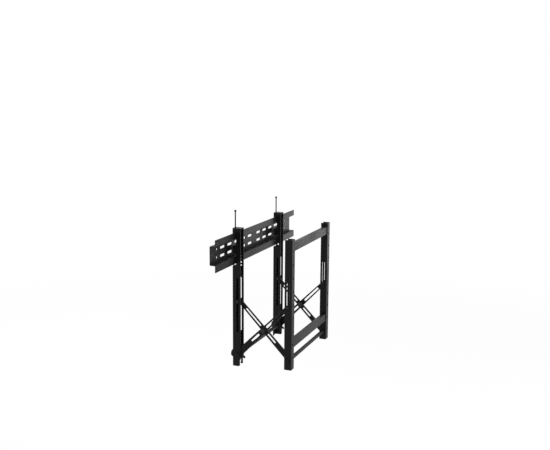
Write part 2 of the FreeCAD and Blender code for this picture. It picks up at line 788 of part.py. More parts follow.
def make_crossbar(name, z):
    """A shallow channel between the two display channels, open to the wall, with closed ends."""
    body = new_body(name + "_body")
    half = bracket_x - bracket_half
    low = z - S["crossbar_height"] / 2
    high = z + S["crossbar_height"] / 2
    rear = display_web_inside + S["crossbar_depth"]
    skin = S["crossbar_sheet"]
    blank = sketch_on(body, "YZ_Plane")
    rectangle(blank, display_web_inside, rear, low, high)
    pad(body, blank, half * 2, symmetric=True)
    hollow = sketch_on(body, "YZ_Plane")
    rectangle(hollow, display_web_inside + skin, rear, low + skin, high - skin)
    cut_through(body, hollow, half * 2 - S["crossbar_depth"])
    holes = sketch_on(body, "YZ_Plane")
    for shift in (-1, 1):
        circle(holes, display_web_inside + S["crossbar_depth"] / 2,
               z + S["crossbar_height"] / 4 * shift, S["crossbar_screw_radius"])
    cut_through(body, holes, half * 2)
    keep(body, name)


def make_crossbar_screws():
    screws = []
    y = display_web_inside + S["crossbar_depth"] / 2
    length = S["bracket_sheet"] + S["crossbar_depth"] / 2
    for label, side in SIDES.items():
        inside = side * (bracket_x - wall_inside)
        tip = side * (bracket_x - wall_inside - length)
        for row, bar_z in (("high", crossbar_high_z), ("low", crossbar_low_z)):
            for shift in (-1, 1):
                z = bar_z + S["crossbar_height"] / 4 * shift
                title = f"crossbar_screw_{label}_{row}_{shift + 1}"
                start = tip if side > 0 else inside
                head_start = inside if side > 0 else inside - S["crossbar_head_thickness"]
                shank = cylinder(title + "_shank", S["crossbar_screw_radius"], length, X_AXIS, start, y, z)
                head = cylinder(title + "_head", S["crossbar_head_radius"], S["crossbar_head_thickness"],
                                X_AXIS, head_start, y, z)
                screws.append(fuse(title, [shank, head]))
    group("crossbar_screws", screws)


# Spring latches: a hook at each bracket's foot that drops in front of the display frame's striker

def make_latch_lever(name, side):
    body = new_body(name + "_body")
    outline = sketch_on(body, "YZ_Plane")
    hub = S["latch_hub_radius"]
    barb_back = striker_y + S["pop_travel"] - S["striker_radius"] - S["lip_clearance"] * 4
    barb_front = barb_back - hub / 3
    barb_low = striker_z + S["striker_radius"] + S["lip_clearance"] * 3
    beam_low = barb_low + hub / 2
    beam_high = beam_low + hub
    tail_y = latch_y - hub * 0.4
    tail_z = latch_z - S["latch_tail_drop"]
    tail_half = S["latch_tail_width"] / 2
    polygon(outline, [
        (latch_y + hub, latch_z - hub * 0.7), (latch_y + hub, latch_z + hub * 0.6),
        (latch_y + hub * 0.4, latch_z + hub), (latch_y - hub, beam_high), (barb_front, beam_high),
        (barb_front, barb_low), (barb_back, barb_low), (barb_back + hub / 4, beam_low),
        (latch_y - hub, beam_low), (latch_y - hub * 1.3, latch_z - hub), (tail_y - tail_half, tail_z),
        (tail_y + tail_half, tail_z), (latch_y, latch_z - hub * 1.3),
    ])
    pad(body, outline, S["latch_sheet"], symmetric=True)
    knobs = sketch_on(body, "YZ_Plane")
    circle(knobs, barb_back + hub * 0.6, beam_high - hub / 4, S["latch_knob_radius"])
    circle(knobs, tail_y, tail_z, S["latch_knob_radius"])
    pad(body, knobs, S["latch_sheet"], symmetric=True)
    bore = sketch_on(body, "YZ_Plane")
    circle(bore, latch_y, latch_z, S["latch_pin_radius"] + S["running_gap"])
    cut_through(body, bore, S["latch_sheet"] * 2)
    place(body, x=side * bracket_x)
    keep(body, name)


def make_latch_pins():
    """A headed pin from each bracket's outer side wall through the latch's hub."""
    pins = []
    lever_far = S["latch_sheet"] / 2 + S["lip_clearance"]
    length = bracket_half + lever_far
    for label, side in SIDES.items():
        inner_end = side * (bracket_x - lever_far)
        start = inner_end if side > 0 else inner_end - length
        head_start = inner_end - S["latch_pin_head"] if side > 0 else inner_end
        shank = cylinder("latch_shank_" + label, S["latch_pin_radius"], length, X_AXIS,
                         start, latch_y, latch_z)
        head = cylinder("latch_head_" + label, S["latch_pin_radius"] * 1.6, S["latch_pin_head"], X_AXIS,
                        head_start, latch_y, latch_z)
        pins.append(fuse("latch_pin_" + label, [shank, head]))
    group("latch_pins", pins)


def make_strikers():
    """A plain pin across each display channel, flush with its side walls."""
    pins = []
    for label, side in SIDES.items():
        pins.append(cylinder("striker_" + label, S["striker_radius"], S["bracket_width"], X_AXIS,
                             side * bracket_x - bracket_half, striker_y, striker_z))
    group("strikers", pins)


make_wall_rail()
for label, side in SIDES.items():
    make_bracket("bracket_" + label, side)
    make_height_screw("height_screw_" + label, side)
    make_rail_catch("rail_catch_" + label, side)
    make_foot("foot_" + label, "foot_pad_" + label, side)
    make_arm("outer_arm_" + label, side, pivot_y, S["outer_arm_width"], 1, S["arm_offset"])
    make_arm("inner_arm_" + label, side, display_pivot_y, S["inner_arm_width"], -1, -S["arm_offset"])
    make_display_channel("display_channel_" + label, side)
    make_latch_lever("latch_lever_" + label, side)
make_lift_nuts()
make_catch_screws()
make_torque_tube("wall_torque_tube", pivot_y)
make_torque_tube("display_torque_tube", display_pivot_y)
make_bushes("wall_bushes", pivot_y)
make_bushes("display_bushes", display_pivot_y)
make_mid_pins()
make_roller_set("wall_roller_pins", "wall_rollers", pivot_y)
make_roller_set("display_roller_pins", "display_rollers", display_pivot_y)
make_crossbar("crossbar_high", crossbar_high_z)
make_crossbar("crossbar_low", crossbar_low_z)
make_crossbar_screws()
make_latch_pins()
make_strikers()

doc.recompute()
for item in doc.Objects:
    if "Invalid" in item.State or "Error" in item.State:
        raise RuntimeError(f"{item.Label} failed: {item.State}")
for name, item in nodes.items():
    if item.Shape.isNull() or not item.Shape.isValid():
        raise RuntimeError(f"{name} has no valid shape")
os.makedirs("parts", exist_ok=True)
for name, item in nodes.items():
    item.Shape.exportStep(f"parts/{name}.step")
    box = item.Shape.BoundBox
    print(f"{name}: {len(item.Shape.Solids)} solids, x {box.XMin:.1f} to {box.XMax:.1f}, "
          f"y {box.YMin:.1f} to {box.YMax:.1f}, z {box.ZMin:.1f} to {box.ZMax:.1f}")
closing_angle = math.degrees(math.asin(reach_open.value / S["arm_length"].value)
                             - math.asin(reach_closed.value / S["arm_length"].value))
print(f"closing angle {closing_angle:.3f} degrees, mid pivot z {pivot_z.value + rise_open.value / 2:.4f}")
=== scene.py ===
import math

import bmesh
import bpy
from mathutils import Matrix, Vector


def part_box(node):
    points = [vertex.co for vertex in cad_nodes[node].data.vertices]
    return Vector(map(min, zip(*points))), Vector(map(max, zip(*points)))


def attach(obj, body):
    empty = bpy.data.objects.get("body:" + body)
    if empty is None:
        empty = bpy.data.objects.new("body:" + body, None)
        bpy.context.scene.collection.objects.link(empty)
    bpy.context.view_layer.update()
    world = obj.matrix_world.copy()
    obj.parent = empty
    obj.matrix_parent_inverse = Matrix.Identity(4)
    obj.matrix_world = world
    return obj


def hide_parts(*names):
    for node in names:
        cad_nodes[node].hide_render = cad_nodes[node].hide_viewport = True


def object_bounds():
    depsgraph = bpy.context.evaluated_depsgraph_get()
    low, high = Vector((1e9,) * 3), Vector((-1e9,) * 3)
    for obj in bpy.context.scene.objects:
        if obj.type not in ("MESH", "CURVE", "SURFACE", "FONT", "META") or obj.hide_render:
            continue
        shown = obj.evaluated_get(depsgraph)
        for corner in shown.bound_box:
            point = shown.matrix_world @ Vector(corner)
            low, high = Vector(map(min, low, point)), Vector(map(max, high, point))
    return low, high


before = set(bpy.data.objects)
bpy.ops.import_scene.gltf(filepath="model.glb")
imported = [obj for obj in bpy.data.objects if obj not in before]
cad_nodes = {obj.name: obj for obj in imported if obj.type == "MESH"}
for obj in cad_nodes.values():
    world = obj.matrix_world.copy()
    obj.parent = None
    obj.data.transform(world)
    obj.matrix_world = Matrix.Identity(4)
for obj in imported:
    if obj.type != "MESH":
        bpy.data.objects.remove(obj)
cad_box = [list(corner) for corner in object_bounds()]
MM = 0.001

# Camera: stands left of the mount and a little above it, where the photograph was taken from.
# Its place, turn and lens were fitted to straight edges in the photograph, which is 550 by 450.
CAMERA_PLACE = Vector((-2.809, -1.234, 0.586))
CAMERA_YAW = math.radians(67.86)
CAMERA_PITCH = math.radians(-9.91)
CAMERA_ROLL = math.radians(0.35)
CAMERA_LENS = 51.6
SENSOR_WIDTH = 36
SIGHT_LIMIT = 50

looking = Vector((math.cos(CAMERA_PITCH) * math.sin(CAMERA_YAW),
                  math.cos(CAMERA_PITCH) * math.cos(CAMERA_YAW),
                  math.sin(CAMERA_PITCH)))
level_right = Vector((math.cos(CAMERA_YAW), -math.sin(CAMERA_YAW), 0))
level_up = level_right.cross(looking)
rolled_right = level_right * math.cos(CAMERA_ROLL) + level_up * math.sin(CAMERA_ROLL)
rolled_up = level_up * math.cos(CAMERA_ROLL) - level_right * math.sin(CAMERA_ROLL)
camera_data = bpy.data.cameras.new("camera")
camera_data.lens = CAMERA_LENS
camera_data.sensor_width = SENSOR_WIDTH
camera_data.clip_end = SIGHT_LIMIT
camera = bpy.data.objects.new("camera", camera_data)
camera_turn = Matrix((rolled_right, rolled_up, -looking)).transposed().to_4x4()
camera.matrix_world = Matrix.Translation(CAMERA_PLACE) @ camera_turn
bpy.context.scene.collection.objects.link(camera)
bpy.context.scene.camera = camera
bpy.context.scene.view_settings.view_transform = "Standard"

# Studio: a pale floor below the mount, an even white surround and five soft lamps.
# Floor and surround are white for the camera and for reflections, and gentler as a light.
# Under the mount the floor keeps a share of its own matte white, so that it holds the shadow.
FLOOR_BELOW = 0.75
FLOOR_REACH = 40.0
FLOOR_COLOUR = (0.92, 0.92, 0.92, 1)
FLOOR_WHITE_NEAR = 0.84
FLOOR_MATTE_REACH = (1.2, 4.5)
SURROUND_LIGHT = 0.5
LAMP_AIM = Vector((0, -0.1, -0.15))


def node_tree(owner):
    """Switch an owner to nodes and return its emptied tree."""
    owner.use_nodes = True
    owner.node_tree.nodes.clear()
    return owner.node_tree


def add_node(tree, kind, **values):
    """A node with its properties and plain input values set."""
    node = tree.nodes.new(kind)
    for name, value in values.items():
        if hasattr(node, name):
            setattr(node, name, value)
        else:
            node.inputs[name.replace("_", " ")].default_value = value
    return node


def seen_directly(tree):
    """A socket that is 1 for what the camera sees, directly or by reflection or through glass."""
    path = add_node(tree, "ShaderNodeLightPath")
    seen = add_node(tree, "ShaderNodeMath", operation="MAXIMUM")
    seen_through = add_node(tree, "ShaderNodeMath", operation="MAXIMUM")
    tree.links.new(path.outputs["Is Camera Ray"], seen.inputs[0])
    tree.links.new(path.outputs["Is Glossy Ray"], seen.inputs[1])
    tree.links.new(seen.outputs[0], seen_through.inputs[0])
    tree.links.new(path.outputs["Is Transmission Ray"], seen_through.inputs[1])
    return seen_through.outputs[0]


world = bpy.data.worlds.new("surround")
bpy.context.scene.world = world
tree = node_tree(world)
light_sky = add_node(tree, "ShaderNodeBackground", Strength=SURROUND_LIGHT)
white_sky = add_node(tree, "ShaderNodeBackground", Strength=1.0)
for sky in (light_sky, white_sky):
    sky.inputs["Color"].default_value = (1, 1, 1, 1)
sky_mix = add_node(tree, "ShaderNodeMixShader")
tree.links.new(seen_directly(tree), sky_mix.inputs[0])
tree.links.new(light_sky.outputs[0], sky_mix.inputs[1])
tree.links.new(white_sky.outputs[0], sky_mix.inputs[2])
tree.links.new(sky_mix.outputs[0], add_node(tree, "ShaderNodeOutputWorld").inputs["Surface"])

floor_mesh = bpy.data.meshes.new("floor")
floor_z = cad_box[0][2] - FLOOR_BELOW
floor_mesh.from_pydata([(x * FLOOR_REACH, y * FLOOR_REACH, floor_z)
                        for x, y in ((-1, -1), (1, -1), (1, 1), (-1, 1))], [], [(0, 1, 2, 3)])
floor = bpy.data.objects.new("floor", floor_mesh)
bpy.context.scene.collection.objects.link(floor)
floor_paint = bpy.data.materials.new("pale_floor")
tree = node_tree(floor_paint)
matte = add_node(tree, "ShaderNodeBsdfDiffuse")
matte.inputs["Color"].default_value = FLOOR_COLOUR
glow = add_node(tree, "ShaderNodeEmission", Strength=1.0)
floor_place = add_node(tree, "ShaderNodeTexCoord")
from_mount = add_node(tree, "ShaderNodeVectorMath", operation="LENGTH")
tree.links.new(floor_place.outputs["Object"], from_mount.inputs[0])
white_share = add_node(tree, "ShaderNodeMapRange", interpolation_type="SMOOTHSTEP")
white_share.inputs["From Min"].default_value = FLOOR_MATTE_REACH[0] + FLOOR_BELOW
white_share.inputs["From Max"].default_value = FLOOR_MATTE_REACH[1] + FLOOR_BELOW
white_share.inputs["To Min"].default_value = FLOOR_WHITE_NEAR
white_share.inputs["To Max"].default_value = 1.0
tree.links.new(from_mount.outputs["Value"], white_share.inputs["Value"])
share = add_node(tree, "ShaderNodeMath", operation="MULTIPLY")
tree.links.new(seen_directly(tree), share.inputs[0])
tree.links.new(white_share.outputs["Result"], share.inputs[1])
floor_mix = add_node(tree, "ShaderNodeMixShader")
tree.links.new(share.outputs[0], floor_mix.inputs[0])
tree.links.new(matte.outputs[0], floor_mix.inputs[1])
tree.links.new(glow.outputs[0], floor_mix.inputs[2])
tree.links.new(floor_mix.outputs[0], add_node(tree, "ShaderNodeOutputMaterial").inputs["Surface"])
floor_mesh.materials.append(floor_paint)

for title, place, size, power in (
    ("lamp_room_side", Vector((1.6, -3.4, 1.6)), 2.4, 60),
    ("lamp_left", Vector((-3.2, -0.8, 2.4)), 1.8, 14),
    ("lamp_above", Vector((0.4, -0.6, 3.0)), 2.2, 40),
    ("lamp_right", Vector((1.25, -0.42, -0.15)), 0.5, 0.9),
    ("lamp_wall_side", Vector((1.9, 3.0, 1.7)), 2.2, 60),
):
    lamp_data = bpy.data.lights.new(title, "AREA")
    lamp_data.shape = "DISK"
    lamp_data.size = size
    lamp_data.energy = power
    lamp = bpy.data.objects.new(title, lamp_data)
    lamp.location = place
    lamp.rotation_euler = (LAMP_AIM - place).to_track_quat("-Z", "Y").to_euler()
    bpy.context.scene.collection.objects.link(lamp)

# Wall rail: a folded hat-section strip of 2.5 mm steel with two rows of punched slots.
# It is powder coated satin black, with a fine orange peel and a faint rub along its folded edges.
COAT_BLACK = (0.0075, 0.0075, 0.008, 1)
COAT_RUBBED = (0.07, 0.07, 0.072, 1)
EDGE_ROUND = 0.6 * MM
FOLD_ROUND = 1.5 * MM
RUB_WIDTH = 1.4 * MM
RUB_STARTS = 0.99
RUB_FULL = 0.82
RUB_PATCHES_PER_METRE = 90.0
RUB_GAPS = (0.42, 0.7)
PEEL_PER_METRE = 260.0
DRIFT_PER_METRE = 7.0
GRAIN_STRENGTH = 0.8
FLECK_SPREAD = 0.18
BEVEL_SAMPLES = 4


def group_tree(title, inputs, outputs):
    """An empty shader node group with named sockets, and its input and output nodes."""
    tree = bpy.data.node_groups.new(title, "ShaderNodeTree")
    for name, kind, value in inputs:
        socket = tree.interface.new_socket(name, in_out="INPUT", socket_type=kind)
        socket.default_value = value
    for name, kind in outputs:
        tree.interface.new_socket(name, in_out="OUTPUT", socket_type=kind)
    return tree, tree.nodes.new("NodeGroupInput"), tree.nodes.new("NodeGroupOutput")


def edge_rub_group():
    """A mask that is bright where a rounded normal leaves the true one, broken up by noise."""
    tree, inputs, outputs = group_tree("edge_rub", [
        ("Width", "NodeSocketFloat", RUB_WIDTH), ("Amount", "NodeSocketFloat", 0.6),
    ], [("Mask", "NodeSocketFloat")])
    soft = add_node(tree, "ShaderNodeBevel", samples=BEVEL_SAMPLES)
    tree.links.new(inputs.outputs["Width"], soft.inputs["Radius"])
    true = add_node(tree, "ShaderNodeNewGeometry")
    match = add_node(tree, "ShaderNodeVectorMath", operation="DOT_PRODUCT")
    tree.links.new(soft.outputs["Normal"], match.inputs[0])
    tree.links.new(true.outputs["Normal"], match.inputs[1])
    ramp = add_node(tree, "ShaderNodeMapRange")
    ramp.inputs["From Min"].default_value = RUB_STARTS
    ramp.inputs["From Max"].default_value = RUB_FULL
    tree.links.new(match.outputs["Value"], ramp.inputs["Value"])
    place = add_node(tree, "ShaderNodeTexCoord")
    patches = add_node(tree, "ShaderNodeTexNoise", Scale=RUB_PATCHES_PER_METRE, Detail=5.0)
    tree.links.new(place.outputs["Object"], patches.inputs["Vector"])
    broken = add_node(tree, "ShaderNodeMapRange")
    broken.inputs["From Min"].default_value = RUB_GAPS[0]
    broken.inputs["From Max"].default_value = RUB_GAPS[1]
    tree.links.new(patches.outputs["Fac"], broken.inputs["Value"])
    both = add_node(tree, "ShaderNodeMath", operation="MULTIPLY")
    tree.links.new(ramp.outputs["Result"], both.inputs[0])
    tree.links.new(broken.outputs["Result"], both.inputs[1])
    scaled = add_node(tree, "ShaderNodeMath", operation="MULTIPLY")
    tree.links.new(both.outputs[0], scaled.inputs[0])
    tree.links.new(inputs.outputs["Amount"], scaled.inputs[1])
    tree.links.new(scaled.outputs[0], outputs.inputs["Mask"])
    return tree


def coat_grain_group():
    """Orange peel and fine grain as a normal, with a slow drift in gloss."""
    tree, inputs, outputs = group_tree("coat_grain", [
        ("Grain per metre", "NodeSocketFloat", 1500.0), ("Depth", "NodeSocketFloat", 0.06 * MM),
        ("Edge round", "NodeSocketFloat", EDGE_ROUND),
    ], [("Normal", "NodeSocketVector"), ("Gloss drift", "NodeSocketFloat"), ("Fleck", "NodeSocketFloat")])
    place = add_node(tree, "ShaderNodeTexCoord")
    rounded = add_node(tree, "ShaderNodeBevel", samples=BEVEL_SAMPLES)
    tree.links.new(inputs.outputs["Edge round"], rounded.inputs["Radius"])
    grain = add_node(tree, "ShaderNodeTexNoise", Detail=3.0, Roughness=0.55)
    tree.links.new(place.outputs["Object"], grain.inputs["Vector"])
    tree.links.new(inputs.outputs["Grain per metre"], grain.inputs["Scale"])
    peel = add_node(tree, "ShaderNodeTexNoise", Scale=PEEL_PER_METRE, Detail=1.0)
    tree.links.new(place.outputs["Object"], peel.inputs["Vector"])
    height = add_node(tree, "ShaderNodeMath", operation="ADD")
    tree.links.new(grain.outputs["Fac"], height.inputs[0])
    tree.links.new(peel.outputs["Fac"], height.inputs[1])
    bump = add_node(tree, "ShaderNodeBump", Strength=GRAIN_STRENGTH)
    tree.links.new(height.outputs[0], bump.inputs["Height"])
    tree.links.new(inputs.outputs["Depth"], bump.inputs["Distance"])
    tree.links.new(rounded.outputs["Normal"], bump.inputs["Normal"])
    tree.links.new(bump.outputs["Normal"], outputs.inputs["Normal"])
    drift = add_node(tree, "ShaderNodeTexNoise", Scale=DRIFT_PER_METRE, Detail=4.0)
    tree.links.new(place.outputs["Object"], drift.inputs["Vector"])
    tree.links.new(drift.outputs["Fac"], outputs.inputs["Gloss drift"])
    tree.links.new(grain.outputs["Fac"], outputs.inputs["Fleck"])
    return tree


edge_rub = edge_rub_group()
coat_grain = coat_grain_group()


def finish_material(title, colour, worn_colour, roughness, grain, depth, rub, metallic=0.0,
                    specular=0.5, worn_metal=0.0, rough_spread=0.1, edge=EDGE_ROUND):
    """A surface with grain, gloss drift and rubbed edges; each finish passes its own values."""
    material = bpy.data.materials.new(title)
    tree = node_tree(material)
    surface = add_node(tree, "ShaderNodeBsdfPrincipled")
    surface.inputs["Specular IOR Level"].default_value = specular
    texture = add_node(tree, "ShaderNodeGroup", node_tree=coat_grain)
    texture.inputs["Grain per metre"].default_value = grain
    texture.inputs["Depth"].default_value = depth
    texture.inputs["Edge round"].default_value = edge
    rubbed = add_node(tree, "ShaderNodeGroup", node_tree=edge_rub)
    rubbed.inputs["Amount"].default_value = rub
    tint = add_node(tree, "ShaderNodeMix", data_type="RGBA")
    tint.inputs["A"].default_value = colour
    tint.inputs["B"].default_value = worn_colour
    tree.links.new(rubbed.outputs["Mask"], tint.inputs["Factor"])
    fleck = add_node(tree, "ShaderNodeMapRange")
    fleck.inputs["To Min"].default_value = 1 - FLECK_SPREAD
    fleck.inputs["To Max"].default_value = 1 + FLECK_SPREAD
    tree.links.new(texture.outputs["Fleck"], fleck.inputs["Value"])
    shade = add_node(tree, "ShaderNodeVectorMath", operation="SCALE")
    tree.links.new(tint.outputs["Result"], shade.inputs[0])
    tree.links.new(fleck.outputs["Result"], shade.inputs["Scale"])
    tree.links.new(shade.outputs[0], surface.inputs["Base Color"])
    gloss = add_node(tree, "ShaderNodeMapRange")
    gloss.inputs["To Min"].default_value = roughness - rough_spread
    gloss.inputs["To Max"].default_value = roughness + rough_spread
    tree.links.new(texture.outputs["Gloss drift"], gloss.inputs["Value"])
    tree.links.new(gloss.outputs["Result"], surface.inputs["Roughness"])
    metal = add_node(tree, "ShaderNodeMapRange")
    metal.inputs["To Min"].default_value = metallic
    metal.inputs["To Max"].default_value = max(metallic, worn_metal)
    tree.links.new(rubbed.outputs["Mask"], metal.inputs["Value"])
    tree.links.new(metal.outputs["Result"], surface.inputs["Metallic"])
    tree.links.new(texture.outputs["Normal"], surface.inputs["Normal"])
    tree.links.new(surface.outputs[0], add_node(tree, "ShaderNodeOutputMaterial").inputs["Surface"])
    return material


def dress(material, *names):
    """Give CAD nodes their finish."""
    for name in names:
        cad_nodes[name].data.materials.clear()
        cad_nodes[name].data.materials.append(material)


coated_steel = finish_material("coated_steel", COAT_BLACK, COAT_RUBBED, 0.4, specular=0.12, grain=1100.0,
                               depth=0.1 * MM, rub=0.75, rough_spread=0.14, edge=FOLD_ROUND)
dress(coated_steel, "wall_rail")

# Wall brackets: tall channels bent from the same coated sheet, hooked over the rail's upper lip.
# Each stands on its height screw, which turns in a nut welded under the channel's top.
dress(coated_steel, "bracket_left", "bracket_right")


def geometry_tree(title, inputs):
    """An empty geometry node tree with named inputs, and its input and output nodes."""
    tree = bpy.data.node_groups.new(title, "GeometryNodeTree")
    tree.interface.new_socket("Geometry", in_out="INPUT", socket_type="NodeSocketGeometry")
    tree.interface.new_socket("Geometry", in_out="OUTPUT", socket_type="NodeSocketGeometry")
    for name, kind, value in inputs:
        tree.interface.new_socket(name, in_out="INPUT", socket_type=kind).default_value = value
    return tree, tree.nodes.new("NodeGroupInput"), tree.nodes.new("NodeGroupOutput")


def bake(piece, tree, values):
    """Run a geometry tree on an object, keep the result as its plain mesh and drop the modifier."""
    modifier = piece.modifiers.new("build", "NODES")
    modifier.node_group = tree
    for item in tree.interface.items_tree:
        if item.item_type == "SOCKET" and item.in_out == "INPUT" and item.name in values:
            modifier[item.identifier] = values[item.name]
    bpy.context.view_layer.update()
    evaluated = piece.evaluated_get(bpy.context.evaluated_depsgraph_get())
    made = bpy.data.meshes.new_from_object(evaluated)
    piece.modifiers.clear()
    piece.data = made
    return piece


def spots_object(title, spots):
    """An object of loose points, each with the direction that it faces."""
    mesh = bpy.data.meshes.new(title)
    mesh.from_pydata([place for place, _ in spots], [], [])
    facing = mesh.attributes.new("facing", "FLOAT_VECTOR", "POINT")
    for index, (_, direction) in enumerate(spots):
        facing.data[index].vector = direction
    piece = bpy.data.objects.new(title, mesh)
    bpy.context.scene.collection.objects.link(piece)
    return piece


def repeat_tree(title):
    """Sets one shape on every spot, turned so that its Z axis lies along the spot's direction."""
    tree, inputs, outputs = geometry_tree(title, [
        ("Shape", "NodeSocketObject", None), ("Finish", "NodeSocketMaterial", None),
    ])
    shape = add_node(tree, "GeometryNodeObjectInfo")
    tree.links.new(inputs.outputs["Shape"], shape.inputs["Object"])
    facing = add_node(tree, "GeometryNodeInputNamedAttribute", data_type="FLOAT_VECTOR")
    facing.inputs["Name"].default_value = "facing"
    aim = add_node(tree, "FunctionNodeAlignRotationToVector", axis="Z")
    tree.links.new(facing.outputs["Attribute"], aim.inputs["Vector"])
    points = add_node(tree, "GeometryNodeMeshToPoints")
    tree.links.new(inputs.outputs["Geometry"], points.inputs["Mesh"])
    place = add_node(tree, "GeometryNodeInstanceOnPoints")
    tree.links.new(points.outputs[0], place.inputs["Points"])
    tree.links.new(shape.outputs["Geometry"], place.inputs["Instance"])
    tree.links.new(aim.outputs["Rotation"], place.inputs["Rotation"])
    solid = add_node(tree, "GeometryNodeRealizeInstances")
    tree.links.new(place.outputs[0], solid.inputs[0])
    painted = add_node(tree, "GeometryNodeSetMaterial")
    tree.links.new(solid.outputs[0], painted.inputs["Geometry"])
    tree.links.new(inputs.outputs["Finish"], painted.inputs["Material"])
    tree.links.new(painted.outputs[0], outputs.inputs["Geometry"])
    return tree


repeat_on_spots = repeat_tree("repeat_on_spots")


def middle(title):
    """The centre of a CAD node's box."""
    low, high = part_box(title)
    return [(start + end) / 2 for start, end in zip(low, high)]


def round_point(radius, angle, height):
    """A point round the Z axis."""
    return radius * math.cos(angle), radius * math.sin(angle), height


def join_rows(work, rows, looped=False):
    """Faces from each row of corners to the next, with a cap at both ends or joined into a loop."""
    follows = rows[1:] + rows[:1] if looped else rows[1:]
    for before, after in zip(rows, follows):
        for corner in range(len(before)):
            follow = (corner + 1) % len(before)
            work.faces.new((before[corner], after[corner], after[follow], before[follow]))
    if not looped:
        work.faces.new(rows[0])
        work.faces.new(list(reversed(rows[-1])))


def finished_mesh(title, work, smooth=False):
    """The mesh of what was built, with normals outward; smooth rounds its four-sided faces."""
    bmesh.ops.recalc_face_normals(work, faces=work.faces)
    for face in work.faces:
        face.smooth = smooth and len(face.verts) == 4
    mesh = bpy.data.meshes.new(title)
    work.to_mesh(mesh)
    work.free()
    return mesh


def turned_shape(title, profile, steps):
    """A closed shape turned about Z from (radius, height) points; the first and last lie on the axis."""
    work = bmesh.new()
    rings = []
    for radius, height in profile:
        if radius == 0:
            rings.append([work.verts.new((0, 0, height))])
        else:
            rings.append([work.verts.new(round_point(radius, 2 * math.pi * step / steps, height))
                          for step in range(steps)])
    for low, high in zip(rings, rings[1:]):
        for step in range(steps):
            after = (step + 1) % steps
            if len(low) == 1:
                work.faces.new((low[0], high[step], high[after]))
            elif len(high) == 1:
                work.faces.new((low[step], high[0], low[after]))
            else:
                work.faces.new((low[step], high[step], high[after], low[after]))
    return finished_mesh(title, work, smooth=True)


def repeat(title, mesh, spots, body, finish):
    """Copies of one shape on spots, as one finished piece that rides on a body."""
    shape = bpy.data.objects.new(title + "_shape", mesh)
    piece = spots_object(title, spots)
    bake(piece, repeat_on_spots, {"Shape": shape, "Finish": finish})
    bpy.data.objects.remove(shape)
    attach(piece, body)
    return piece


zinc_steel = finish_material("zinc_steel", (0.032, 0.032, 0.034, 1), (0.16, 0.16, 0.16, 1), 0.36,
                             metallic=0.85, grain=2600.0, depth=0.03 * MM, rub=0.5, worn_metal=1.0)
dress(zinc_steel, "lift_nuts")
bracket_x = middle("bracket_right")[0]

# Height screws: long machine screws that stand on the rail; their rods rise above the brackets.
# The rolled thread is a ridge wound round the rod; the hexagon socket in the head stays in the solid.
THREAD_PITCH = 0.8 * MM
THREAD_RISE = 0.32 * MM
THREAD_STEPS = 14
THREAD_FOOT = THREAD_PITCH * 0.46
THREAD_SUNK = 0.1 * MM
THREAD_FROM_END = 0.6 * MM
THREAD_FROM_HEAD = 1.2 * MM
ROD_RADIUS = 2.2 * MM
HEAD_LENGTH = 5 * MM


def thread_mesh(title, centre, start, end):
    """A ridge of triangular section wound round an upright rod, with closed ends."""
    count = int((end - start) / THREAD_PITCH * THREAD_STEPS)
    work = bmesh.new()
    rows = []
    for index in range(count + 1):
        angle = 2 * math.pi * index / THREAD_STEPS
        along = start + (end - start) * index / count
        row = []
        for out, shift in ((-THREAD_SUNK, -THREAD_FOOT), (THREAD_RISE, 0), (-THREAD_SUNK, THREAD_FOOT)):
            where = Vector(round_point(ROD_RADIUS + out, angle, along + shift))
            row.append(work.verts.new(where + centre))
        rows.append(row)
    join_rows(work, rows)
    return finished_mesh(title, work)


def add_piece(title, mesh, finish, body):
    """A finished mesh in place, riding on a body."""
    mesh.materials.append(finish)
    piece = bpy.data.objects.new(title, mesh)
    bpy.context.scene.collection.objects.link(piece)
    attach(piece, body)
    return piece


oiled_steel = finish_material("oiled_steel", (0.004, 0.004, 0.0042, 1), (0.03, 0.03, 0.03, 1), 0.5,
                              specular=0.02, grain=2600.0, depth=0.03 * MM, rub=0.4)
dress(oiled_steel, "height_screw_left", "height_screw_right")
for label in ("left", "right"):
    low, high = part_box("height_screw_" + label)
    x, y, _ = middle("height_screw_" + label)
    thread = thread_mesh("height_thread_" + label, Vector((x, y, 0)), low.z + THREAD_FROM_END,
                         high.z - HEAD_LENGTH - THREAD_FROM_HEAD)
    add_piece("height_thread_" + label, thread, oiled_steel, "height_screw_" + label)

# Safety catches: bent plates behind the rail's lower lip, each held by one button-head screw.
# The screw heads are cold formed, with a hexagon socket in a domed crown.
CATCH_HEAD = 4.9 * MM
CATCH_HEAD_RISE = 1.6 * MM
CROWN_GAP = 0.05 * MM
SOCKET_RADIUS = 1.9 * MM
SOCKET_DEPTH = 1.3 * MM
SOCKET_RIM = 1.25
SCREW_STEPS = 24
SHANK_END_WIDTH = 0.8
SHANK_END_START = 0.95
# The crown's outline, as shares of its radius and its rise.
CROWN_OUTLINE = ((0.99, 0), (1, 0.18), (0.93, 0.55), (0.78, 0.84))


def button_screw(title, radius, rise, depth, shank=None):
    """A domed head with a six-sided socket sunk in its crown, closed below or carried on a shank."""
    work = bmesh.new()

    def ring(size, height, six_sided=False):
        row = []
        for step in range(SCREW_STEPS):
            angle = 2 * math.pi * step / SCREW_STEPS
            flat = math.cos(math.pi / 6) / math.cos(angle % (math.pi / 3) - math.pi / 6)
            row.append(work.verts.new(round_point(size * flat if six_sided else size, angle, height)))
        return row

    rows = [ring(radius * out, rise * up) for out, up in CROWN_OUTLINE]
    rows += [ring(SOCKET_RADIUS * SOCKET_RIM, rise), ring(SOCKET_RADIUS, rise, six_sided=True),
             ring(SOCKET_RADIUS, rise - depth, six_sided=True)]
    if shank:
        shank_radius, shank_length = shank
        rows = [ring(shank_radius * SHANK_END_WIDTH, -shank_length),
                ring(shank_radius, -shank_length * SHANK_END_START), ring(shank_radius, 0)] + rows
    join_rows(work, rows)
    return finished_mesh(title, work)


